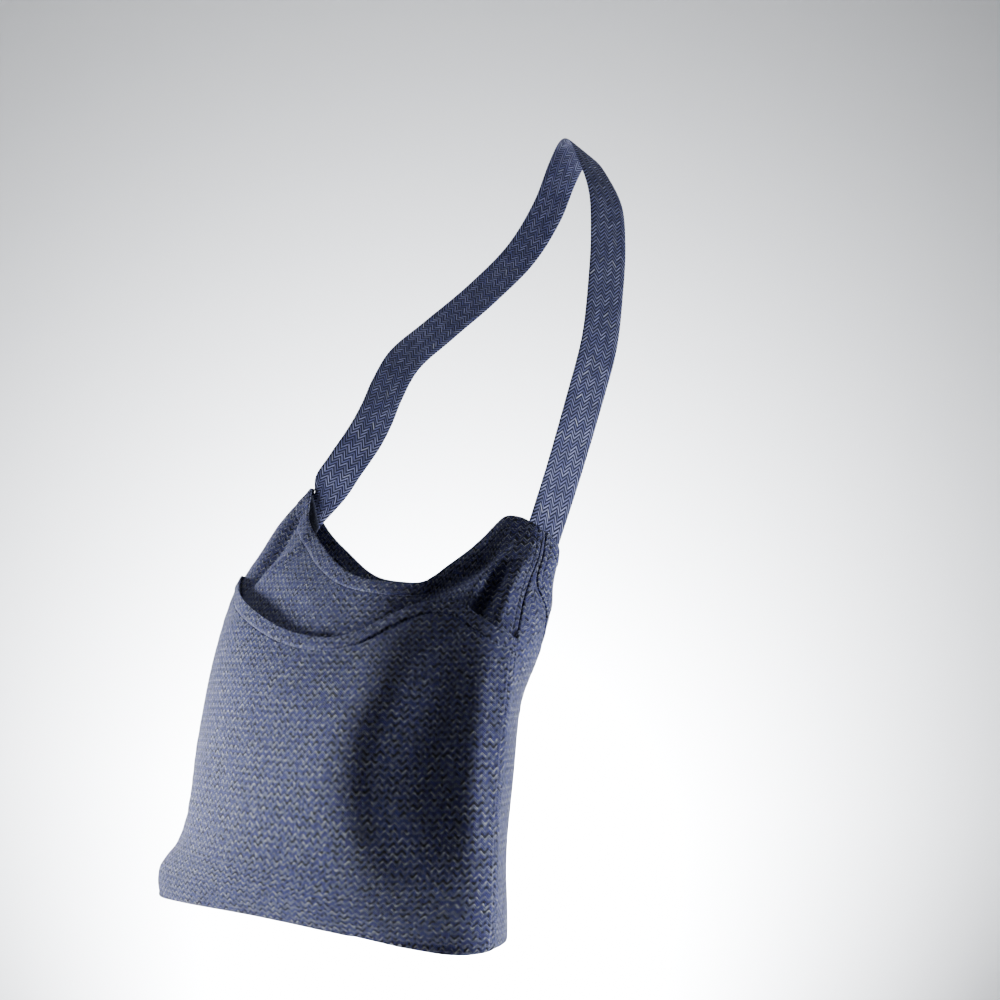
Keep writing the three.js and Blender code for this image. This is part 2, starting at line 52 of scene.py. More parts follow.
onward = Vector((-np.sin(VIEW_TURN), np.cos(VIEW_TURN), 0.0))
forward = onward * np.cos(VIEW_LIFT) + Vector((0.0, 0.0, np.sin(VIEW_LIFT)))
level = Vector((np.cos(VIEW_TURN), np.sin(VIEW_TURN), 0.0))
upright = level.cross(forward)
rightward = level * np.cos(VIEW_ROLL) + upright * np.sin(VIEW_ROLL)
upward = upright * np.cos(VIEW_ROLL) - level * np.sin(VIEW_ROLL)
bag_middle = Vector((-0.090, -0.238, -0.655))
aim = forward - (rightward * PIXELS_LEFT + upward * PIXELS_BELOW) / FOCAL_PIXELS
eye = bag_middle - aim * VIEW_DISTANCE

camera = bpy.data.objects.new("camera", bpy.data.cameras.new("camera"))
bpy.context.scene.collection.objects.link(camera)
turned = Matrix((rightward, upward, -forward)).transposed().to_4x4()
camera.matrix_world = Matrix.Translation(eye) @ turned
camera.data.lens = SENSOR_WIDTH * FOCAL_PIXELS / PICTURE_PIXELS
camera.data.sensor_width = SENSOR_WIDTH
bpy.context.scene.camera = camera


def seen_at(right, up, back):
    """A place beside the bag's middle, in metres as the camera sees it."""
    return bag_middle + rightward * right + upward * up + forward * back


def soft_light(name, place, target, across, watts, spread=180):
    lamp = bpy.data.objects.new(name, bpy.data.lights.new(name, "AREA"))
    bpy.context.scene.collection.objects.link(lamp)
    lamp.location = place
    lamp.rotation_euler = (target - place).to_track_quat("-Z", "Y").to_euler()
    lamp.data.shape = "DISK"
    lamp.data.size = across
    lamp.data.energy = watts
    lamp.data.spread = np.radians(spread)
    lamp.data.color = (0.93, 0.96, 1.0)


on_curve = seen_at(0, -0.5, 2.0)
soft_light("light_left", seen_at(-1.2, -0.1, 0.12), bag_middle, across=0.5, watts=4.3, spread=32)
soft_light("light_right", seen_at(1.25, -0.35, -0.1), seen_at(0, -0.05, 0), across=0.5, watts=48)
soft_light("light_top", seen_at(-0.3, 1.3, 0.1), bag_middle, across=1.0, watts=9)
soft_light("light_backdrop", seen_at(0, -0.75, 1.0), on_curve, across=0.6, watts=215, spread=130)

world = bpy.data.worlds.new("studio_air")
world.use_nodes = True
world.node_tree.nodes["Background"].inputs["Color"].default_value = (0.92, 0.92, 0.90, 1)
world.node_tree.nodes["Background"].inputs["Strength"].default_value = 0.08
bpy.context.scene.world = world

FLOOR_DROP, FLOOR_FRONT, FLOOR_HALF_WIDTH = 1.75, 3.0, 5.0
BEND_START, BEND_RADIUS, BACKDROP_HEIGHT = 0.9, 0.9, 4.5
bend = [(np.sin(turn), 1 - np.cos(turn)) for turn in np.linspace(0.1, np.pi / 2, 12)]
profile = [(-FLOOR_FRONT, 0.0), (BEND_START, 0.0)]
profile += [(BEND_START + BEND_RADIUS * run, BEND_RADIUS * climb) for run, climb in bend]
profile += [(BEND_START + BEND_RADIUS, BACKDROP_HEIGHT)]
sweep = [(x, y, z - FLOOR_DROP) for y, z in profile for x in (-FLOOR_HALF_WIDTH, FLOOR_HALF_WIDTH)]
strips = [(2 * i, 2 * i + 1, 2 * i + 3, 2 * i + 2) for i in range(len(profile) - 1)]
floor_mesh = bpy.data.meshes.new("studio_floor")
floor_mesh.from_pydata(sweep, [], strips)
floor_mesh.shade_smooth()
floor = bpy.data.objects.new("studio_floor", floor_mesh)
floor.rotation_euler.z = VIEW_TURN
bpy.context.scene.collection.objects.link(floor)
paper = bpy.data.materials.new("studio_paper")
paper.use_nodes = True
paper.node_tree.nodes["Principled BSDF"].inputs["Base Color"].default_value = (0.90, 0.90, 0.91, 1)
paper.node_tree.nodes["Principled BSDF"].inputs["Roughness"].default_value = 0.9
floor_mesh.materials.append(paper)

# The front panel: thick zigzag cloth from the bottom seam to the mouth and both ears. Its rim is turned
# in as a thick hem and stitched down, and the strap pulls long folds into both ears. The bag's form is
# lofted through short tables of level sections, which the other pieces share.

BAG_WIDTH = 338.0
BAG_HEIGHT = 420.0
GUSSET_DEPTH = 75.0
FRONT_SWELL = 74.0
LEAN_BACK = 100.0
SEAM_STRIP = 4.0
LEAST_SWELL = 0.18  # of a section's half width
LEVEL_SHARE = 0.55  # of a section's half width, where it runs level
SEAM_REACH, OVERHANG_PER_DEGREE = 0.5, 0.033
STRAP_REST = np.array([90.0, 238.0, 820.0])

FRONT_ROWS = np.array([
    # rise, right, left, lean, swell, left turn, right turn
    [0.0, 0.9, -1.27, 0.13, 0.66, 58, 60],
    [0.07, 0.935, -1.235, 0.03, 0.78, 58, 60],
    [0.14, 0.95, -1.085, -0.04, 0.86, 57, 59],
    [0.24, 0.945, -1.035, -0.05, 0.93, 56, 58],
    [0.38, 0.92, -1.055, 0.07, 1.0, 55, 57],
    [0.5, 0.895, -1.09, 0.22, 0.99, 53, 55],
    [0.61, 0.865, -1.12, 0.39, 0.9, 50, 53],
    [0.7, 0.845, -1.135, 0.55, 0.78, 44, 54],
    [0.76, 0.855, -1.115, 0.64, 0.68, 38, 57],
    [0.83, 0.875, -1.055, 0.77, 0.55, 33, 60],
    [0.91, 0.85, -0.97, 0.88, 0.44, 30, 60],
    [1.0, 0.8, -0.8, 0.99, 0.36, 30, 60],
    [1.06, 0.77, -0.68, 1.06, 0.31, 30, 60],
])
REAR_ROWS = np.array([
    # rise, right gusset, left gusset, right tuck, left tuck, rear swell, right rear, left rear
    [0.0, 1.0, 0.95, 0.33, 0.28, 0.1, 40, 40],
    [0.07, 1.0, 0.98, 0.38, 0.36, 0.16, 42, 42],
    [0.14, 1.02, 1.0, 0.41, 0.36, 0.2, 45, 44],
    [0.24, 1.02, 1.0, 0.39, 0.33, 0.24, 48, 46],
    [0.38, 0.98, 0.98, 0.34, 0.3, 0.26, 54, 48],
    [0.5, 0.88, 0.92, 0.26, 0.25, 0.27, 66, 52],
    [0.61, 0.68, 0.78, -0.01, 0.18, 0.28, 84, 56],
    [0.7, 0.34, 0.56, -0.16, 0.12, 0.32, 104, 60],
    [0.76, 0.05, 0.38, -0.06, 0.08, 0.38, 118, 64],
    [0.83, 0.0, 0.14, -0.03, 0.03, 0.42, 122, 66],
    [0.91, 0.0, 0.0, -0.03, 0.0, 0.42, 122, 66],
    [1.0, 0.0, 0.0, -0.03, 0.0, 0.42, 122, 66],
    [1.06, 0.0, 0.0, -0.03, 0.0, 0.42, 122, 66],
])
EDGE_ROWS = np.array([
    # across, bottom seam, pocket mouth, front rim, rear rim
    [-1.0, 0.004, 0.765, 1.0, 1.0],
    [-0.8, 0.004, 0.735, 0.965, 0.973],
    [-0.57, 0.009, 0.694, 0.917, 0.916],
    [-0.35, 0.013, 0.653, 0.86, 0.845],
    [-0.14, 0.014, 0.618, 0.8, 0.777],
    [0.03, 0.01, 0.606, 0.755, 0.762],
    [0.15, 0.004, 0.62, 0.741, 0.762],
    [0.27, -0.003, 0.658, 0.739, 0.766],
    [0.35, -0.008, 0.68, 0.752, 0.772],
    [0.43, -0.013, 0.693, 0.806, 0.78],
    [0.51, -0.016, 0.695, 0.855, 0.79],
    [0.6, -0.019, 0.688, 0.902, 0.803],
    [0.68, -0.02, 0.671, 0.91, 0.816],
    [0.82, -0.017, 0.646, 0.9, 0.838],
    [1.0, -0.009, 0.625, 0.88, 0.88],
])


def through(rows, place):
    """Columns of a table at any place along its first one, on a smooth curve through the rows."""
    place = np.clip(place, rows[0, 0], rows[-1, 0])
    low = np.searchsorted(rows[1:-1, 0], place, side="left")
    ends = np.arange(len(rows))
    before, after = rows[np.maximum(ends - 1, 0)], rows[np.minimum(ends + 1, len(rows) - 1)]
    slope = (after - before) / (after[:, :1] - before[:, :1])
    span = (rows[low + 1, 0] - rows[low, 0])[..., None]
    t = (place - rows[low, 0])[..., None] / span
    here, there = rows[low], rows[low + 1]
    leaving, arriving = slope[low] * span, slope[low + 1] * span
    square = 3 * (there - here) - 2 * leaving - arriving
    cubic = 2 * (here - there) + leaving + arriving
    found = ((cubic * t + square) * t + leaving) * t + here
    return np.moveaxis(found, -1, 0)


def point(x, y, z):
    return np.stack(np.broadcast_arrays(x, y, z), -1).astype(float)


def unit(arrows):
    return arrows / np.linalg.norm(arrows, axis=-1, keepdims=True)


def seams(rise):
    """The four upright seams at a height: front right, front left, rear right, rear left."""
    _, right, left, lean, *_ = through(FRONT_ROWS, rise)
    _, right_depth, left_depth, right_tuck, left_tuck, *_ = through(REAR_ROWS, rise)
    y, z = lean * LEAN_BACK, rise * BAG_HEIGHT
    front_right = point(right * BAG_WIDTH / 2, y, z)
    front_left = point(left * BAG_WIDTH / 2, y, z)
    right_depth = SEAM_STRIP + np.maximum(right_depth, 0) * (GUSSET_DEPTH - SEAM_STRIP)
    left_depth = SEAM_STRIP + np.maximum(left_depth, 0) * (GUSSET_DEPTH - SEAM_STRIP)
    rear_right = front_right + point(-right_tuck * GUSSET_DEPTH, right_depth, 0)
    rear_left = front_left + point(left_tuck * GUSSET_DEPTH, left_depth, 0)
    return front_right, front_left, rear_right, rear_left


def half_section(middle, seam, turn, outward, share):
    """From the middle of a section, where it runs level, round to a seam that it meets at an angle."""
    width = np.abs(seam - middle)[..., 0]
    side = np.sign(seam - middle)[..., 0]
    swell = np.maximum(np.abs(seam - middle)[..., 1], LEAST_SWELL * width)
    angle = np.radians(turn)
    overhang = SEAM_REACH + OVERHANG_PER_DEGREE * np.maximum(turn - 90, 0)
    reach = swell / np.maximum(np.sin(angle), 0.5) * overhang
    leaving = middle + point(side * width * LEVEL_SHARE, 0, 0)
    arriving = seam - point(side * np.cos(angle) * reach, -outward * np.sin(angle) * reach, 0)
    t = share[..., None]
    return (
        middle * (1 - t) ** 3
        + leaving * 3 * t * (1 - t) ** 2
        + arriving * 3 * t**2 * (1 - t)
        + seam * t**3
    )


def front_at(across, rise):
    """The front of the bag, -1 at its left seam and 1 at its right seam."""
    across, rise = np.broadcast_arrays(np.asarray(across, float), np.asarray(rise, float))
    right, left, _, _ = seams(rise)
    _, _, _, _, swell, left_turn, right_turn = through(FRONT_ROWS, rise)
    middle = (right + left) / 2 - point(0, swell * FRONT_SWELL, 0)
    on_right = across > 0
    seam = np.where(on_right[..., None], right, left)
    return half_section(middle, seam, np.where(on_right, right_turn, left_turn), -1, np.abs(across))


def rear_at(across, rise):
    """The rear of the bag, across in the same direction."""
    across, rise = np.broadcast_arrays(np.asarray(across, float), np.asarray(rise, float))
    _, _, right, left = seams(rise)
    _, _, _, _, _, swell, right_turn, left_turn = through(REAR_ROWS, rise)
    middle = (right + left) / 2 + point(0, swell * FRONT_SWELL, 0)
    on_right = across > 0
    seam = np.where(on_right[..., None], right, left)
    return half_section(middle, seam, np.where(on_right, right_turn, left_turn), 1, np.abs(across))


def normal_of(surface, across, rise, facing):
    """Unit normal of a surface, out of the bag when facing is 1 on the front or -1 on the rear."""
    step = 1e-3
    across = np.clip(across, step - 1, 1 - step)
    sideways = surface(across + step, rise) - surface(across - step, rise)
    upwards = surface(across, rise + step) - surface(across, rise - step)
    return unit(np.cross(sideways, upwards) * facing)


def crease(across, rise, line, height, width):
    """A ridge or valley along a line of (across, rise), which keeps a quarter of its height at the ends
    and grows to the whole over the first and last quarter of its run."""
    x, y = across * BAG_WIDTH / 2, rise * BAG_HEIGHT
    line = np.array(line) * (BAG_WIDTH / 2, BAG_HEIGHT)
    runs = np.linalg.norm(np.diff(line, axis=0), axis=1)
    starts = np.concatenate([[0], np.cumsum(runs)])
    nearest = np.full(x.shape, 1e9)
    along = np.zeros(x.shape)
    for (ax, ay), (bx, by), run, start in zip(line[:-1], line[1:], runs, starts):
        share = np.clip(((x - ax) * (bx - ax) + (y - ay) * (by - ay)) / run**2, 0, 1)
        away = np.hypot(x - ax - share * (bx - ax), y - ay - share * (by - ay))
        along = np.where(away < nearest, (start + share * run) / starts[-1], along)
        nearest = np.minimum(away, nearest)
    ends = np.clip(np.minimum(along, 1 - along) * 4, 0, 1)
    return height * np.exp(-((nearest / width) ** 2)) * (0.25 + 0.75 * ends**2 * (3 - 2 * ends))


EAR_CREASES = [
    # line of (across, rise), height mm, width mm
    ([(-0.82, 0.955), (-0.72, 0.905), (-0.71, 0.85), (-0.71, 0.79), (-0.76, 0.72)], -11, 15),
    ([(-0.5, 0.895), (-0.43, 0.862), (-0.44, 0.82), (-0.52, 0.78), (-0.62, 0.75)], 3.5, 8),
    ([(0.64, 0.83), (0.56, 0.79), (0.49, 0.762), (0.41, 0.733), (0.33, 0.7)], -8, 10),
    ([(0.78, 0.84), (0.66, 0.8), (0.62, 0.76), (0.59, 0.72)], 4.5, 7),
    ([(0.7, 0.8), (0.73, 0.745), (0.71, 0.69), (0.74, 0.655)], -11, 9),
    ([(0.86, 0.82), (0.84, 0.762), (0.85, 0.712), (0.84, 0.665)], 2, 8),
    ([(-0.35, 0.75), (-0.1, 0.705), (0.12, 0.716), (0.3, 0.72)], 2.5, 13),
]
BODY_CREASES = [
    ([(0.42, 0.63), (0.33, 0.52), (0.22, 0.42), (0.2, 0.3), (0.27, 0.12)], 6, 30),
    ([(0.57, 0.66), (0.57, 0.48), (0.53, 0.33), (0.56, 0.1)], -6, 27),
    ([(0.8, 0.62), (0.78, 0.495), (0.8, 0.293), (0.84, 0.12)], 3, 15),
    ([(-0.8, 0.35), (-0.9, 0.22), (-0.75, 0.12)], -3, 16),
    ([(-0.6, 0.14), (-0.1, 0.1), (0.3, 0.06)], 2, 16),
]
SLOW_WAVE = 0.8
MOUTH_VALLEY, VALLEY_ABOVE_MOUTH, VALLEY_WIDTH = 3.0, 2.0, 8.0  # along the pocket's mouth, right
RIDGE_FADE = 0.04  # of the bag's height


def body_folds(across, rise):
    """The folds that the panel and the pocket share, and slow waves, their lengths in millimetres."""
    relief = sum(crease(across, rise, *each) for each in BODY_CREASES)
    x, y = across * BAG_WIDTH / 2, rise * BAG_HEIGHT
    slow = np.sin(x / 31 + y / 47 + 0.6) * np.sin(y / 39 - x / 83) + 0.5 * np.sin(x / 17 - y / 23)
    return relief + SLOW_WAVE * slow


def front_folds(across, rise):
    """Under the pocket only the valleys go on, so the cloth of the panel stays behind the pocket's."""
    over_mouth = rise - through(EDGE_ROWS, across)[2]
    above_mouth = np.clip(over_mouth / RIDGE_FADE, 0, 1)
    from_valley = (over_mouth * BAG_HEIGHT - VALLEY_ABOVE_MOUTH) / VALLEY_WIDTH
    relief = body_folds(across, rise) - MOUTH_VALLEY * np.exp(-(from_valley**2)) * (across > 0)
    for line, height, width in EAR_CREASES:
        relief = relief + crease(across, rise, line, height, width) * (above_mouth if height > 0 else 1)
    return relief


WALL = 2.2
LAYER_GAP = 0.3
POCKET_LAYER = WALL + LAYER_GAP
SEAM_ROLL = 1.6
SEAM_STITCH, SEAM_GROOVE, SEAM_GROOVE_WIDTH = 5.5, 0.55, 0.55
HEM_STITCH, HEM_GROOVE, HEM_GROOVE_WIDTH = 11.1, 0.6, 0.7
HEM_EDGE, HEM_STAND = 11.5, 0.8
HEM_DEPTH, HEM_FADE = 12.0, 2.0
HEM_FOLD = 1.1
SINK_REACH = 6.0
PUCKER = 0.4

# Where the rows and columns of a panel's grid lie, in millimetres from a seam and from a hemmed edge.
# One of them runs along the bottom of each stitched groove.
NEAR_SEAM = np.array([0, 0.35, 0.8, 1.3, 1.9, 2.7, 3.7, 4.6, 5.1, 5.5, 5.9, 6.5, 7.6, 9.5, 13.0])
BELOW_EDGE = np.array([0, 0.6, 1.4, 2.4, 4, 6, 8, 9.4, 10.2, 10.7, 11.1, 11.5, 12.1, 13, 15, 18, 22])
STITCH_COLUMN, STITCH_ROW = 9, 10
MOST_STRETCH = 1.9


def distance_along(points, axis):
    steps = np.linalg.norm(np.diff(points, axis=axis), axis=-1)
    start = np.zeros_like(np.take(steps, [0], axis=axis))
    return np.concatenate([start, np.cumsum(steps, axis=axis)], axis=axis)


def columns_across(surface, left_rise, right_rise, count):
    """Places across each row, close together beside the side seams, and their distances from a seam."""
    halves = []
    for side, rises in ((-1, left_rise), (1, right_rise)):
        share = np.linspace(1, 0, 201)
        run = distance_along(surface(side * share[None, :], rises[:, None]), 1)
        evenly = [np.linspace(NEAR_SEAM[-1], row[-1], count + 1)[1:] for row in run]
        wanted = [np.concatenate([NEAR_SEAM, rest]) for rest in evenly]
        places = np.array([np.interp(want, row, share) for want, row in zip(wanted, run)])
        halves.append((side * places, np.array(wanted)))
    (left, left_away), (right, right_away) = halves
    across = np.concatenate([left, right[:, -2::-1]], 1)
    return across, np.concatenate([left_away, right_away[:, -2::-1]], 1)


def rows_up(seam, top, stretch, count):
    """Heights of rows from a bottom seam to a top edge, close together at both."""
    seam, top, stretch = np.broadcast_arrays(seam, top, stretch)
    low = seam + NEAR_SEAM[::2][:, None] / BAG_HEIGHT
    high = top - BELOW_EDGE[::-1][:, None] * stretch / BAG_HEIGHT
    share = np.linspace(0, 1, count + 1)[1:-1][:, None]
    return np.concatenate([low, low[-1] + (high[0] - low[-1]) * share, high])


def panel_grid(surface, top_column, columns, rows):
    """Places across and heights of a panel's grid, and distances from its side seams and top edge.
    Where the edge slopes, the rows below it spread, so that the hem keeps its width square to it."""
    guide = np.linspace(-1, 1, 241)
    top_guide = through(EDGE_ROWS, guide)[top_column]
    edge = surface(guide, top_guide)
    level_run = distance_along(edge[:, :2], 0)
    stretch_guide = np.clip(np.hypot(1, np.gradient(edge[:, 2], level_run)), 1, MOST_STRETCH)
    edges = through(EDGE_ROWS, np.array([-1.0, 1.0]))
    sides = rows_up(edges[1], edges[top_column], np.interp([-1, 1], guide, stretch_guide), rows)
    across, away = columns_across(surface, sides[:, 0], sides[:, 1], columns)
    shape = through(EDGE_ROWS, across)
    seam, top = shape[1], shape[top_column]
    stretch = np.interp(across, guide, stretch_guide)
    rise = np.array([rows_up(seam[r], top[r], stretch[r], rows)[r] for r in range(len(across))])
    below = (top - rise) * BAG_HEIGHT / stretch
    return across, rise, away, below


def groove(distance, depth, width):
    return depth * np.exp(-((distance / width) ** 2))


def seam_roll(away):
    """How far a panel's face turns in at its seam, with the groove of the stitching beside it."""
    near = np.clip(SEAM_ROLL - away, 0, SEAM_ROLL)
    turned_in = np.sqrt(SEAM_ROLL**2 - near**2) - SEAM_ROLL
    return turned_in - groove(away - SEAM_STITCH, SEAM_GROOVE, SEAM_GROOVE_WIDTH)


def sunk_at_seam(away):
    """How far the pocket sinks to the panel's level in their common seam, and the panel with it."""
    return POCKET_LAYER * (1 - np.sqrt(np.clip(away / SINK_REACH, 0, 1)))


def hem_relief(below):
    """The thick turned hem along an edge, and the groove of its stitching."""
    stand = HEM_STAND * np.clip((HEM_EDGE - below) / HEM_FADE, 0, 1)
    return stand - groove(below - HEM_STITCH, HEM_GROOVE, HEM_GROOVE_WIDTH)


def pucker(away, along):
    """Small waves that stitching pulls into the cloth beside it."""
    return PUCKER * np.sin(along / 2.6 + 1.5 * np.sin(along / 19)) * np.exp(-away / 7)


def both_faces(base, normal, height, below, hem_fold):
    """The outer and the inner face of a panel, which is thicker by hem_fold along its top edge."""
    wall = WALL + hem_fold * np.clip((HEM_DEPTH - below) / HEM_FADE, 0, 1)
    return base + normal * height[..., None], base + normal * (height - wall)[..., None]


def sheet(name, outer, inner, u, v, lip=0):
    """A closed sheet between two faces of equal rows and columns, with a round lip along its top row.
    u and v are the cloth's own width and height in millimetres, which the weave follows."""
    turn = np.linspace(0, np.pi, lip + 2)[1:-1, None, None]
    centre, half = (outer[-1] + inner[-1]) / 2, (outer[-1] - inner[-1]) / 2
    crest = np.linalg.norm(half, axis=-1, keepdims=True)
    rounded = centre + half * np.cos(turn) + unit(outer[-1] - outer[-2]) * crest * np.sin(turn)
    ring = np.concatenate([outer, rounded, inner[::-1]])
    lip_v = v[-1] + np.linspace(0.5, 2.5, lip)[:, None]
    ring_u = np.concatenate([u, np.repeat(u[-1:], lip, 0), u[::-1]])
    ring_v = np.concatenate([v, np.broadcast_to(lip_v, (lip, v.shape[1])), v[::-1]])
    total, width = ring.shape[:2]
    index = np.arange(total * width).reshape(total, width)
    below, above = index, np.roll(index, -1, 0)
    sides = np.stack([below[:, :-1], below[:, 1:], above[:, 1:], above[:, :-1]], -1).reshape(-1, 4)
    half_way = total // 2
    down, up = index[: half_way - 1], index[1:half_way]
    across_down, across_up = index[::-1][: half_way - 1], index[::-1][1:half_way]
    first = np.stack([down[:, 0], up[:, 0], across_up[:, 0], across_down[:, 0]], -1)
    last = np.stack([down[:, -1], across_down[:, -1], across_up[:, -1], up[:, -1]], -1)
    faces = np.concatenate([sides, first, last])
    points = ring.reshape(-1, 3)
    a, b, c, d = (points[faces[:, k]] for k in range(4))
    volume = (np.cross(a, b) * c).sum() + (np.cross(a, c) * d).sum()
    faces = faces if volume > 0 else faces[:, ::-1]
    mesh = bpy.data.meshes.new(name)
    mesh.from_pydata(((points - STRAP_REST) / 1000).tolist(), [], faces.tolist())
    places = np.stack([ring_u.ravel(), ring_v.ravel()], -1)[faces.ravel()]
    mesh.uv_layers.new(name="cloth_mm").uv.foreach_set("vector", places.ravel().astype(np.float32))
    mesh.shade_smooth()
    piece = bpy.data.objects.new(name, mesh)
    bpy.context.scene.collection.objects.link(piece)
    return piece


class Strand:
    """A number, colour or place that runs through the nodes of a material."""

    def __init__(self, tree, socket=None):
        self.tree, self.socket = tree, socket

    def node(self, kind, settings, values, output=0):
        """An output of a new node. Its settings come first, then its inputs are set or linked."""
        made = self.tree.nodes.new("ShaderNode" + kind)
        for name, setting in settings.items():
            setattr(made, name, setting)
        for name, value in values.items():
            if isinstance(value, Strand):
                self.tree.links.new(value.socket, made.inputs[name])
            else:
                made.inputs[name].default_value = value
        return Strand(self.tree, made.outputs[output])

    def maths(self, operation, first, second=0.0):
        return self.node("Math", {"operation": operation}, {0: first, 1: second})

    def __add__(self, other):
        return self.maths("ADD", self, other)

    def __radd__(self, other):
        return self.maths("ADD", other, self)

    def __sub__(self, other):
        return self.maths("SUBTRACT", self, other)

    def __rsub__(self, other):
        return self.maths("SUBTRACT", other, self)

    def __mul__(self, other):
        return self.maths("MULTIPLY", self, other)

    def __rmul__(self, other):
        return self.maths("MULTIPLY", other, self)

    def __truediv__(self, other):
        return self.maths("DIVIDE", self, other)

    def __floordiv__(self, other):
        return self.maths("FLOOR", self / other)

    def __mod__(self, other):
        """How far through its present period a strand is, from 0 to 1."""
        return self.maths("FRACT", self / other)

    def __abs__(self):
        return self.maths("ABSOLUTE", self)

    def above(self, low, high):
        """0 below low and 1 above high, with a smooth step between them."""
        settings = {"interpolation_type": "SMOOTHSTEP"}
        return self.node("MapRange", settings, {"Value": self, "From Min": low, "From Max": high})

    def toward(self, first, second):
        """A colour between two others."""
        colours = [c if isinstance(c, Strand) else (*c, 1) for c in (first, second)]
        settings = {"data_type": "RGBA"}
        return self.node("Mix", settings, {0: self, 6: colours[0], 7: colours[1]}, 2)

    def parts(self):
        split = self.node("SeparateXYZ", {}, {0: self}).socket.node
        return [Strand(self.tree, split.outputs[k]) for k in range(2)]

    def joined(self, other):
        return self.node("CombineXYZ", {}, {0: self, 1: other})


YARN_EDGE, FLOAT_SHOULDER = 0.2, 0.6  # of half a row's pitch and half a float's length
DRAW_SPREAD, COLOUR_STEP = 0.7, 0.05


def woven(
    name,
    pitch,  # of the rows, mm
    column,  # the width over which a row climbs or falls, mm
    slope,  # of that climb
    length,  # of a yarn's float, mm
    colours,  # of the gaps, two yarns and the fleck
    shares,  # where the draw of a float's yarn passes from each colour to the next
    depth,  # of the gaps, m
    gap,  # where across a row the gap starts
    broken,  # how far a float sinks in at its ends
    wander,  # of the rows and columns, mm
    band,  # the rows that make one band, from dark to pale
    banded,  # how strongly they do
    selvedge=0.0,  # the half width inside two darker edges, mm
):
    """Cloth or webbing of yarn floats in rows that climb and fall in zigzag columns."""
    material = bpy.data.materials.new(name)
    material.use_nodes = True
    tree = material.node_tree
    shader = tree.nodes["Principled BSDF"]
    place = Strand(tree).node("UVMap", {"uv_map": "cloth_mm"}, {})
    drift = place.node("TexNoise", {}, {"Vector": place, "Scale": 0.11, "Detail": 2.0}, 1)
    fine = place.node("TexNoise", {}, {"Vector": place, "Scale": 0.9, "Detail": 1.0}, 1)
    (u, v), (du, dv), (fu, fv) = place.parts(), drift.parts(), fine.parts()
    u = u + (du - 0.5) * wander * 2 + (fu - 0.5) * wander * 0.7
    v = v + (dv - 0.5) * wander * 2 + (fv - 0.5) * wander * 0.7
    climb = abs(u % (2 * column) - 0.5) * (2 * column * slope)
    line = (v + climb) / pitch
    number = line // 1
    run = u / length
    piece = run // 1
    across_yarn = abs(line % 1 - 0.5) * 2
    along_yarn = abs(run % 1 - 0.5) * 2
    full_width = 1 - across_yarn.above(gap - YARN_EDGE, gap + YARN_EDGE)
    yarn = full_width * (1 - along_yarn.above(FLOAT_SHOULDER, 1.0) * broken)
    draw = {"noise_dimensions": "2D"}
    chance = place.node("TexWhiteNoise", draw, {"Vector": piece.joined(number)})
    second = place.node("TexWhiteNoise", draw, {"Vector": number.joined(piece)})
    patch = place.node("TexNoise", {}, {"Vector": place, "Scale": 0.018, "Detail": 2.0})
    dark, indigo, slate, fleck = colours
    pick = chance * DRAW_SPREAD + number % band * banded
    thread = dark
    for share, yarn_colour in zip(shares, (indigo, slate, fleck)):
        thread = pick.above(share, share + COLOUR_STEP).toward(thread, yarn_colour)
    shade = (0.5 + second * 0.6) * (0.8 + patch * 0.4)
    thread = (1 - shade).toward(thread, dark)
    if selvedge:
        thread = (abs(u) / selvedge).above(0.97, 1.0).toward(thread, indigo)
    colour = yarn.toward(dark, thread)
    tree.links.new(colour.socket, shader.inputs["Base Color"])
    roughness = 0.92 - yarn * 0.14
    tree.links.new(roughness.socket, shader.inputs["Roughness"])
    height = yarn * (0.75 + second * 0.35) * depth
    bump = place.node("Bump", {}, {"Height": height, "Strength": 1.0, "Distance": 1.0})
    tree.links.new(bump.socket, shader.inputs["Normal"])
    shader.inputs["Sheen Weight"].default_value = 0.07
    shader.inputs["Sheen Roughness"].default_value = 0.4
    shader.inputs["Sheen Tint"].default_value = (0.72, 0.76, 1.0, 1)
    shader.inputs["Specular IOR Level"].default_value = 0.25
    return material


def dress(piece, material, slot, *nodes):
    piece.data.materials.append(material)
    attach(piece, "root")
    if nodes:
        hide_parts(*nodes)


zigzag_cloth = woven(
    "zigzag_cloth",
    pitch=2.1,
    column=3.7,
    slope=1.1,
    length=1.85,
    colours=(
        (0.006, 0.007, 0.013),
        (0.062, 0.067, 0.245),
        (0.180, 0.193, 0.325),
        (0.380, 0.400, 0.480),
    ),
    shares=(0.25, 0.68, 1.17),
    depth=0.0003,
    gap=0.52,
    broken=0.75,
    wander=0.5,
    band=3,
    banded=1.0,
)

stitch_lines = []


def panel(surface, facing, top_column, columns, rows, relief):
    """A front or rear panel's grid and distances, its surface with normals, how far the outer face
    stands out from that surface, and every point's place on the cloth."""
    across, rise, away, below = panel_grid(surface, top_column, columns, rows)
    normal = normal_of(surface, across, rise, facing)
    base = surface(across, rise)
    middle = base.shape[1] // 2
    u = distance_along(base, 1)
    u = u - u[:, middle : middle + 1]
    v = distance_along(base, 0) + through(EDGE_ROWS, across)[1][0] * BAG_HEIGHT
    bottom = (rise - rise[:1]) * BAG_HEIGHT
    height = relief(across, rise) + seam_roll(away) + seam_roll(bottom) + hem_relief(below)
    height = height + pucker(away, v) * np.clip(away / 2, 0, 1) + pucker(below, u) * 0.5
    return across, rise, away, below, base, normal, height, u, v


def stitched(outer, normal, left_row=0, right_row=0):
    """Notes the grooves beside both side seams for the topstitching, from the given rows up."""
    for column, row in ((STITCH_COLUMN, left_row), (-1 - STITCH_COLUMN, right_row)):
        stitch_lines.append((outer[row:, column], normal[row:, column]))


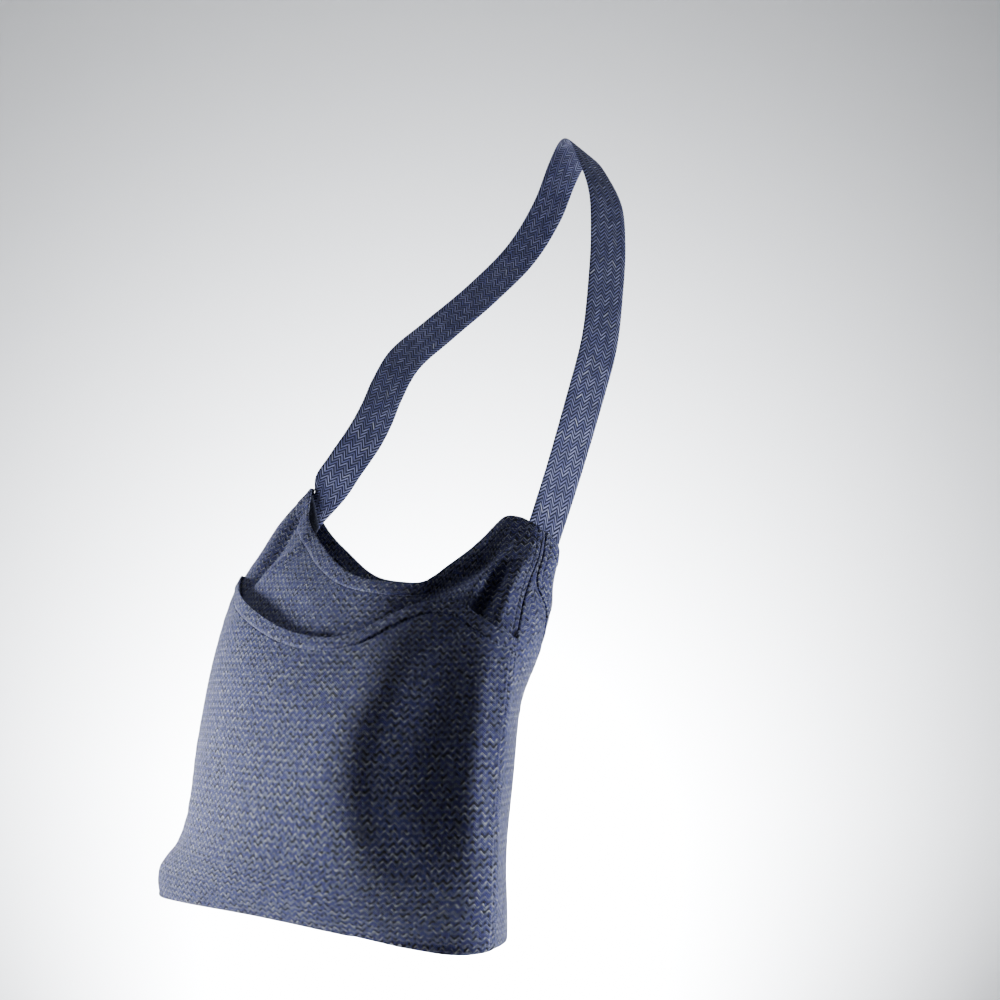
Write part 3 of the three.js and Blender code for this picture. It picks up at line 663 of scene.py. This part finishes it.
LIP_ROWS = 7
COVER_FADE, COVER_SINK = 0.02, 0.25  # where the pocket covers the panel: of the bag's height, and mm

across, rise, away, below, base, normal, height, u, v = panel(
    front_at, facing=1, top_column=3, columns=46, rows=78, relief=front_folds
)
mouth = through(EDGE_ROWS, across)[2]
covered = np.clip((mouth + COVER_FADE - rise) / COVER_FADE, 0, 1)
height = height - covered * (hem_relief(below) + COVER_SINK + sunk_at_seam(away))
outer, inner = both_faces(base, normal, height, below, HEM_FOLD)
front_panel = sheet("front_panel_cloth", outer, inner, u, v, LIP_ROWS)
dress(front_panel, zigzag_cloth, "cloth", "front_panel")

left_start = int(np.argmax(rise[:, 0] > EDGE_ROWS[0, 2]))
right_start = int(np.argmax(rise[:, -1] > EDGE_ROWS[-1, 2]))
stitch_lines.append((outer[-1 - STITCH_ROW], normal[-1 - STITCH_ROW]))
stitched(outer, normal, left_start, right_start)

# The front pocket: one more layer of the same cloth from seam to seam, sewn in with the panel. Its
# mouth is a long S that falls from the left, where it gapes, to the middle and humps on the right. Its
# hem is turned in.

POCKET_GAPE, GAPE_MIDDLE, GAPE_SPREAD = 9.0, -0.5, 0.3
HUMP_STAND, HUMP_MIDDLE = 4.0, 0.5
POCKET_HEM = 0.6  # of the relief that the rim's hem has
POCKET_HEM_FOLD = 0.2
POCKET_WEAVE_SHIFT = (2.1, 1.3)  # so that its weave doesn't run on from the panel's


def pocket_folds(across, rise):
    mouth = through(EDGE_ROWS, across)[2]
    seam = through(EDGE_ROWS, across)[1]
    near_mouth = np.clip((rise - seam) / (mouth - seam), 0, 1) ** 4
    gape = POCKET_GAPE * near_mouth * np.exp(-(((across - GAPE_MIDDLE) / GAPE_SPREAD) ** 2))
    hump = HUMP_STAND * near_mouth * np.exp(-(((across - HUMP_MIDDLE) / GAPE_SPREAD) ** 2))
    return body_folds(across, rise) + gape + hump


across, rise, away, below, base, normal, height, u, v = panel(
    front_at, facing=1, top_column=2, columns=46, rows=84, relief=pocket_folds
)
height = height + POCKET_LAYER - sunk_at_seam(away) + hem_relief(below) * POCKET_HEM
outer, inner = both_faces(base, normal, height, below, POCKET_HEM_FOLD)
u, v = u + POCKET_WEAVE_SHIFT[0], v + POCKET_WEAVE_SHIFT[1]
front_pocket = sheet("front_pocket_cloth", outer, inner, u, v, LIP_ROWS)
dress(front_pocket, zigzag_cloth, "cloth", "front_pocket")
stitch_lines.append((outer[-1 - STITCH_ROW], normal[-1 - STITCH_ROW]))
stitched(outer, normal)

# The rear panel: the same cloth, plain, with the same turned rim. The strap draws a fold down from each
# ear, and a broad shallow hollow runs across the middle.

REAR_CREASES = [
    # line of (across, rise), height mm, width mm
    ([(0.86, 0.85), (0.6, 0.78), (0.4, 0.66)], -3, 11),
    ([(0.95, 0.8), (0.75, 0.68), (0.62, 0.52)], 2.5, 12),
    ([(-0.86, 0.94), (-0.6, 0.82), (-0.4, 0.66)], -3.5, 12),
    ([(-0.5, 0.88), (-0.3, 0.76), (-0.2, 0.62)], 2, 12),
    ([(-0.7, 0.5), (0.0, 0.42), (0.7, 0.5)], -2.5, 26),
    ([(-0.5, 0.12), (0.1, 0.16), (0.6, 0.1)], 2, 18),
]


def rear_folds(across, rise):
    relief = sum(crease(across, rise, *each) for each in REAR_CREASES)
    x, y = across * BAG_WIDTH / 2, rise * BAG_HEIGHT
    slow = np.sin(x / 37 - y / 41 + 1.9) * np.sin(y / 33 + x / 71) + 0.5 * np.sin(x / 19 + y / 27)
    return relief + SLOW_WAVE * slow


across, rise, away, below, base, normal, height, u, v = panel(
    rear_at, facing=-1, top_column=4, columns=40, rows=66, relief=rear_folds
)
outer, inner = both_faces(base, normal, height, below, HEM_FOLD)
rear_panel = sheet("rear_panel_cloth", outer, inner, u, v, LIP_ROWS)
dress(rear_panel, zigzag_cloth, "cloth", "rear_panel")
stitch_lines.append((outer[-1 - STITCH_ROW], normal[-1 - STITCH_ROW]))

# The gussets: tapering strips of the same cloth, sewn in between the front and the rear. Each narrows
# upwards to the side seam of its ear.

GUSSET_BELLY = 5.0
GUSSET_WAVE = 0.7
GUSSET_WEAVE_SHIFT = 1.7
EVEN_BELOW, EVEN_FADE = 70.0, 30.0  # spans under which a row's places spread out evenly


def depth_places(count):
    """Places from the front seam, 0, to the rear seam, 1, close together at both."""
    near = NEAR_SEAM[:6]
    half = np.concatenate([near, np.linspace(near[-1], GUSSET_DEPTH / 2, count)[1:]]) / GUSSET_DEPTH
    return np.concatenate([half, 1 - half[-2::-1]])


def gusset_ends(side, rise):
    front_right, front_left, rear_right, rear_left = seams(rise)
    return (front_right, rear_right) if side > 0 else (front_left, rear_left)


def gusset_at(side, back, rise):
    start, end = gusset_ends(side, rise)
    span = np.linalg.norm(end - start, axis=-1)
    belly = side * GUSSET_BELLY * np.sin(np.pi * back) * span / GUSSET_DEPTH
    return start + (end - start) * back[..., None] + point(belly, 0, 0)


def gusset(name, side):
    edge = through(EDGE_ROWS, np.array(float(side)))
    heights = rows_up(edge[1], edge[3], stretch=1.0, count=70)[:, 0]
    start, end = gusset_ends(side, heights)
    span = np.linalg.norm(end - start, axis=-1)[:, None]
    share = depth_places(8)[None, :]
    evenly = np.linspace(0, 1, share.shape[1])[None, :]
    back = share + (evenly - share) * np.clip((EVEN_BELOW - span) / EVEN_FADE, 0, 1)
    rise = np.broadcast_to(heights[:, None], back.shape)
    base = gusset_at(side, back, rise)
    step = 1e-3
    sideways = gusset_at(side, back + step, rise) - gusset_at(side, back - step, rise)
    upwards = gusset_at(side, back, rise + step) - gusset_at(side, back, rise - step)
    normal = unit(np.cross(sideways, upwards) * side)
    away = np.minimum(back, 1 - back) * span
    v = distance_along(base, 0)
    waves = GUSSET_WAVE * np.sin(v / 21 + side) * np.sin(np.pi * back) * np.clip(span / 40, 0, 1)
    waves = waves + pucker(away, v) * np.clip(away / 2, 0, 1) * 0.7
    height = np.maximum(seam_roll(away), -SEAM_ROLL) + waves
    height = height + seam_roll((rise - rise[:1]) * BAG_HEIGHT) * 0.8
    outer = base + normal * height[..., None]
    inner = base + normal * (height - WALL)[..., None]
    piece = sheet(name, outer, inner, (back - 0.5) * span + GUSSET_WEAVE_SHIFT, v, lip=3)
    dress(piece, zigzag_cloth, "cloth", name.replace("_cloth", ""))


gusset("gusset_right_cloth", side=1)
gusset("gusset_left_cloth", side=-1)

# The bottom: a strip of the same cloth, sewn to the lower edges of the panels and the gussets. It sags
# a little under its own weight.

BOTTOM_SAG = 10.0
BOTTOM_WAVE = 0.6

guide = np.linspace(-1, 1, 121)
seam = through(EDGE_ROWS, guide)[1]
back = depth_places(10)[:, None]
front_line, rear_line = front_at(guide, seam), rear_at(guide, seam)
base = front_line + (rear_line - front_line) * back[..., None]
base[..., 2] -= BOTTOM_SAG * np.sin(np.pi * back) * (1 - guide**4)
u = distance_along(base, 1)
middle = len(guide) // 2
u = u - u[:, middle : middle + 1]
v = distance_along(base, 0)
roll = seam_roll(np.minimum(v, v[-1:] - v)) + seam_roll(np.minimum(u - u[:, :1], u[:, -1:] - u))
roll = np.maximum(roll, -SEAM_ROLL) + BOTTOM_WAVE * np.sin(u / 27) * np.sin(v / 23)
down = point(0, 0, -1.0)
outer = base + down * roll[..., None]
inner = base + down * (roll - WALL)[..., None]
bottom = sheet("bottom_panel_cloth", outer, inner, u, v)
dress(bottom, zigzag_cloth, "cloth", "bottom_panel")

# The topstitching: short stitches of dark blue thread, sunk into the grooves of the hems and beside the
# front seams.

STITCH_PITCH, STITCH_LENGTH, THREAD_RADIUS = 3.4, 2.7, 0.42
FIRST_STITCH = 2.0
THREAD_SIDES = 6
STATIONS = [
    # place along the stitch, girth, lift mm
    (-1.0, 0.25, -0.35),
    (-0.8, 0.75, -0.1),
    (-0.35, 1.0, 0.1),
    (0.35, 1.0, 0.1),
    (0.8, 0.75, -0.1),
    (1.0, 0.25, -0.35),
]


def along_line(line, run, at):
    return np.array([np.interp(at, run, line[:, k]) for k in range(3)])


around = np.linspace(0, 2 * np.pi, THREAD_SIDES + 1)[:-1]
points, faces = [], []
for line, normals in stitch_lines:
    run = distance_along(line, 0)
    for start in np.arange(FIRST_STITCH, run[-1] - STITCH_LENGTH, STITCH_PITCH):
        near, far = along_line(line, run, start), along_line(line, run, start + STITCH_LENGTH)
        out = along_line(normals, run, start)
        ahead = unit(far - near)
        beside = np.cross(ahead, out)
        first = len(points)
        for station, girth, lift in STATIONS:
            centre = (near + far) / 2 + ahead * station * STITCH_LENGTH / 2 + out * lift
            for turn in around:
                spoke = beside * np.cos(turn) + out * np.sin(turn)
                points.append(centre + spoke * girth * THREAD_RADIUS)
        for ring in range(first, len(points) - THREAD_SIDES, THREAD_SIDES):
            for k in range(THREAD_SIDES):
                a, b = ring + k, ring + (k + 1) % THREAD_SIDES
                faces.append((a, b, b + THREAD_SIDES, a + THREAD_SIDES))
        faces.append(tuple(range(first + THREAD_SIDES - 1, first - 1, -1)))
        faces.append(tuple(range(len(points) - THREAD_SIDES, len(points))))
thread_mesh = bpy.data.meshes.new("topstitching")
thread_mesh.from_pydata(((np.array(points) - STRAP_REST) / 1000).tolist(), [], faces)
thread_mesh.shade_smooth()
topstitching = bpy.data.objects.new("topstitching", thread_mesh)
bpy.context.scene.collection.objects.link(topstitching)
thread = bpy.data.materials.new("thread")
thread.use_nodes = True
shader = thread.node_tree.nodes["Principled BSDF"]
twist = Strand(thread.node_tree)
spot = twist.node("TexCoord", {}, {}, 3)
mottle = twist.node("TexNoise", {}, {"Vector": spot, "Scale": 900.0, "Detail": 2.0})
tone = mottle.above(0.3, 0.7).toward((0.07, 0.075, 0.18), (0.24, 0.26, 0.42))
thread.node_tree.links.new(tone.socket, shader.inputs["Base Color"])
shader.inputs["Roughness"].default_value = 0.75
shader.inputs["Sheen Weight"].default_value = 0.3
dress(topstitching, thread, "cloth")

# The strap: one length of broad webbing with a fine zigzag and firm selvedges. Both ends are sewn into
# the ears. It rises in front, turns over at its highest point and comes down behind.

STRAP_WIDTH, STRAP_WALL, STRAP_TUCK = 40.0, 2.2, 46.0
STRAP_START = {1: -0.33 * STRAP_WIDTH, -1: 0.12 * STRAP_WIDTH}
RISE_ABOVE_EAR = 0.03 * STRAP_TUCK
CROWN_HEADING, CROWN_DIP = 30, 38
FREE_ROWS, TUCKED_ROWS, STRAP_COLUMNS = 420, 17, 29
SELVEDGE_CROWDING, SELVEDGE_SQUARENESS = 1.25, 9
RIBS, RIB_DEPTH = 10, 0.07
FRONT_ASIDE, FRONT_FORWARD = 62.0, 34.0
BACK_ASIDE, BACK_FORWARD = 27.0, 90.0
FRONT_RUN = [
    # share of the way up, shares of the bow aside and forward, heading and dip of the width in degrees
    (0.14, 0.33, 0.26, 57, 15),
    (0.3, 0.66, 0.5, 52, 14),
    (0.445, 0.89, 0.58, 48, 12),
    (0.58, 0.97, 0.7, 46, 10),
    (0.7, 1.0, 0.85, 44, 12),
    (0.81, 0.94, 1.0, 42, 18),
    (0.907, 0.66, 0.97, 38, 28),
    (0.976, 0.34, 0.62, 33, 36),
]
BACK_RUN = [
    (0.975, -0.72, -0.34, 26, 38),
    (0.894, -1.0, -0.67, 20, 36),
    (0.781, -1.17, -0.82, 15, 34),
    (0.649, -1.3, -0.66, 13, 32),
    (0.517, -1.33, -0.34, 14, 32),
    (0.413, -1.13, -0.04, 18, 32),
    (0.325, -0.62, 0.07, 24, 32),
    (0.252, -0.09, 0.13, 30, 32),
    (0.188, 0.22, 0.17, 36, 31),
    (0.113, 0.13, 0.12, 45, 28),
    (0.06, 0.03, 0.06, 52, 26),
]


def place_from_seam(surface, side, rise, distance):
    share = np.linspace(1, 0, 401)
    run = distance_along(surface(side * share, rise), 0)
    return side * np.interp(distance, run, share)


def ear_point(side, along, below, depth):
    """A point in an ear, measured round from the side seam and down from the ear's top edge."""
    surface, facing, edge = (rear_at, -1, 4) if along > 0 else (front_at, 1, 3)
    top = through(EDGE_ROWS, np.array(float(side)))[3]
    guess = place_from_seam(surface, side, top, abs(along))
    rise = through(EDGE_ROWS, np.array(guess))[edge] - below / BAG_HEIGHT
    place = np.array(place_from_seam(surface, side, rise, abs(along)))
    return surface(place, rise) - depth * normal_of(surface, place, rise, facing)


def sewn_row(side, below, count=5):
    depth = WALL + LAYER_GAP + STRAP_WALL / 2
    start = ear_point(side, STRAP_START[side], below, depth)
    end = ear_point(side, STRAP_START[side] + STRAP_WIDTH, below, depth)
    return start + (end - start) * np.linspace(0, 1, count)[:, None]


def free_row(centre, heading, dip, count=5):
    heading, dip = np.radians(heading), np.radians(dip)
    over = np.array([np.cos(heading) * np.cos(dip), np.sin(heading) * np.cos(dip), -np.sin(dip)])
    return centre + over * STRAP_WIDTH * np.linspace(-0.5, 0.5, count)[:, None]


def run_rows(table, foot, top, aside_size, forward_size):
    rows = []
    for climb, aside, ahead, heading, dip in table:
        centre = foot + (top - foot) * climb + (aside * aside_size, -ahead * forward_size, 0)
        rows.append(free_row(centre, heading, dip))
    return rows


def smooth_through(stations, at):
    """A centripetal curve through stations (n, k, 3), at places from 0 to 1."""
    place = np.clip(at, 0, 1 - 1e-9) * (len(stations) - 1)
    low = place.astype(int)
    t = (place - low)[:, None, None]
    before, after = 2 * stations[0] - stations[1], 2 * stations[-1] - stations[-2]
    padded = np.concatenate([[before], stations, [after]])
    p0, p1, p2, p3 = (padded[low + k] for k in range(4))
    steps = (p1 - p0, p2 - p1, p3 - p2)
    d0, d1, d2 = (np.linalg.norm(each, axis=-1, keepdims=True) ** 0.5 for each in steps)
    leaving = ((p1 - p0) / d0 - (p2 - p0) / (d0 + d1) + (p2 - p1) / d1) * d1
    arriving = ((p2 - p1) / d1 - (p3 - p1) / (d1 + d2) + (p3 - p2) / d2) * d1
    cubic = 2 * p1 - 2 * p2 + leaving + arriving
    square = 3 * p2 - 3 * p1 - 2 * leaving - arriving
    return ((cubic * t + square) * t + leaving) * t + p1


def lifted(grid, distance):
    """A grid of points moved along its own normals."""
    return grid + unit(np.cross(np.gradient(grid, axis=1), np.gradient(grid, axis=0))) * distance


crown = STRAP_REST + (0, 0, STRAP_WALL / 2)
right_foot, left_foot = (sewn_row(side, 0.0).mean(0) for side in (1, -1))
free = [sewn_row(1, -RISE_ABOVE_EAR)]
free += run_rows(FRONT_RUN, right_foot, crown, FRONT_ASIDE, FRONT_FORWARD)
free += [free_row(crown, CROWN_HEADING, CROWN_DIP)]
free += run_rows(BACK_RUN, left_foot, crown, BACK_ASIDE, BACK_FORWARD)
free += [sewn_row(-1, -RISE_ABOVE_EAR)]
tucked = np.linspace(STRAP_TUCK, 0, TUCKED_ROWS)
right_rows = np.array([sewn_row(1, below) for below in tucked])
left_rows = np.array([sewn_row(-1, below) for below in tucked[::-1]])
middle_rows = smooth_through(np.array(free), np.linspace(0, 1, FREE_ROWS))
spine = np.concatenate([right_rows, middle_rows, left_rows])

# Each row's five points become many, closer together at the selvedges, which are rounded. Fine ribs run
# along the webbing.
seat = np.linspace(-1, 1, STRAP_COLUMNS)
seat = np.sign(seat) * (1 - (1 - np.abs(seat)) ** SELVEDGE_CROWDING)
share = (seat + 1) * 2
low = np.minimum(share.astype(int), 3)
spine = spine[:, low] + (spine[:, low + 1] - spine[:, low]) * (share - low)[None, :, None]
ribs = 1 - RIB_DEPTH + RIB_DEPTH * np.cos(seat * np.pi * RIBS)
thickness = STRAP_WALL / 2 * (1 - np.abs(seat) ** SELVEDGE_SQUARENESS) ** 0.5 * ribs
thickness = np.maximum(thickness, STRAP_WALL / 10)[None, :, None]
u = np.broadcast_to(seat * STRAP_WIDTH / 2, spine.shape[:2])
v = np.broadcast_to(distance_along(spine, 0).mean(1)[:, None], u.shape)
strap = sheet("strap_webbing", lifted(spine, thickness), lifted(spine, -thickness), u, v)
webbing = woven(
    "zigzag_webbing",
    pitch=4.4,
    column=4.75,
    slope=1.4,
    length=4.75,
    colours=(
        (0.014, 0.016, 0.034),
        (0.140, 0.150, 0.330),
        (0.250, 0.265, 0.480),
        (0.420, 0.440, 0.600),
    ),
    shares=(-0.1, 0.38, 0.75),
    depth=0.0005,
    gap=0.42,
    broken=0.2,
    wander=0.12,
    band=2,
    banded=0.2,
    selvedge=19.0,
)
dress(strap, webbing, "webbing", "strap")

# The ear facings: dark plain tweed that covers the strap's sewn ends on the inside of both ears. They
# are as wide as the strap and a little longer than its sewn ends.

FACING_WALL = 1.6
FACING_TOP, FACING_FOOT = 1.0, 60.0  # below the ear's edge
FACING_WAVE = 0.25
FACING_ROWS, FACING_COLUMNS = 30, 21


def facing(name, side, material):
    heights = np.linspace(FACING_TOP, FACING_FOOT, FACING_ROWS)
    grid = np.array([sewn_row(side, below, FACING_COLUMNS) for below in heights])
    middle = lifted(grid, side * (STRAP_WALL / 2 + LAYER_GAP + FACING_WALL / 2))
    u = distance_along(middle, 1)
    v = distance_along(middle, 0)
    waves = (FACING_WAVE * np.sin(v / 3.1) * np.sin(u / 5.3))[..., None]
    outer, inner = lifted(middle, FACING_WALL / 2 + waves), lifted(middle, -FACING_WALL / 2 + waves)
    dress(sheet(name, outer, inner, u, v), material, "facing", name.replace("_cloth", ""))


tweed = woven(
    "dark_tweed",
    pitch=1.6,
    column=1.6,
    slope=1.0,
    length=1.6,
    colours=(
        (0.006, 0.007, 0.012),
        (0.022, 0.026, 0.055),
        (0.045, 0.050, 0.085),
        (0.140, 0.140, 0.150),
    ),
    shares=(-0.1, 0.42, 0.75),
    depth=0.0003,
    gap=0.7,
    broken=0.6,
    wander=0.25,
    band=2,
    banded=0.2,
)
facing("ear_facing_right_cloth", 1, tweed)
facing("ear_facing_left_cloth", -1, tweed)
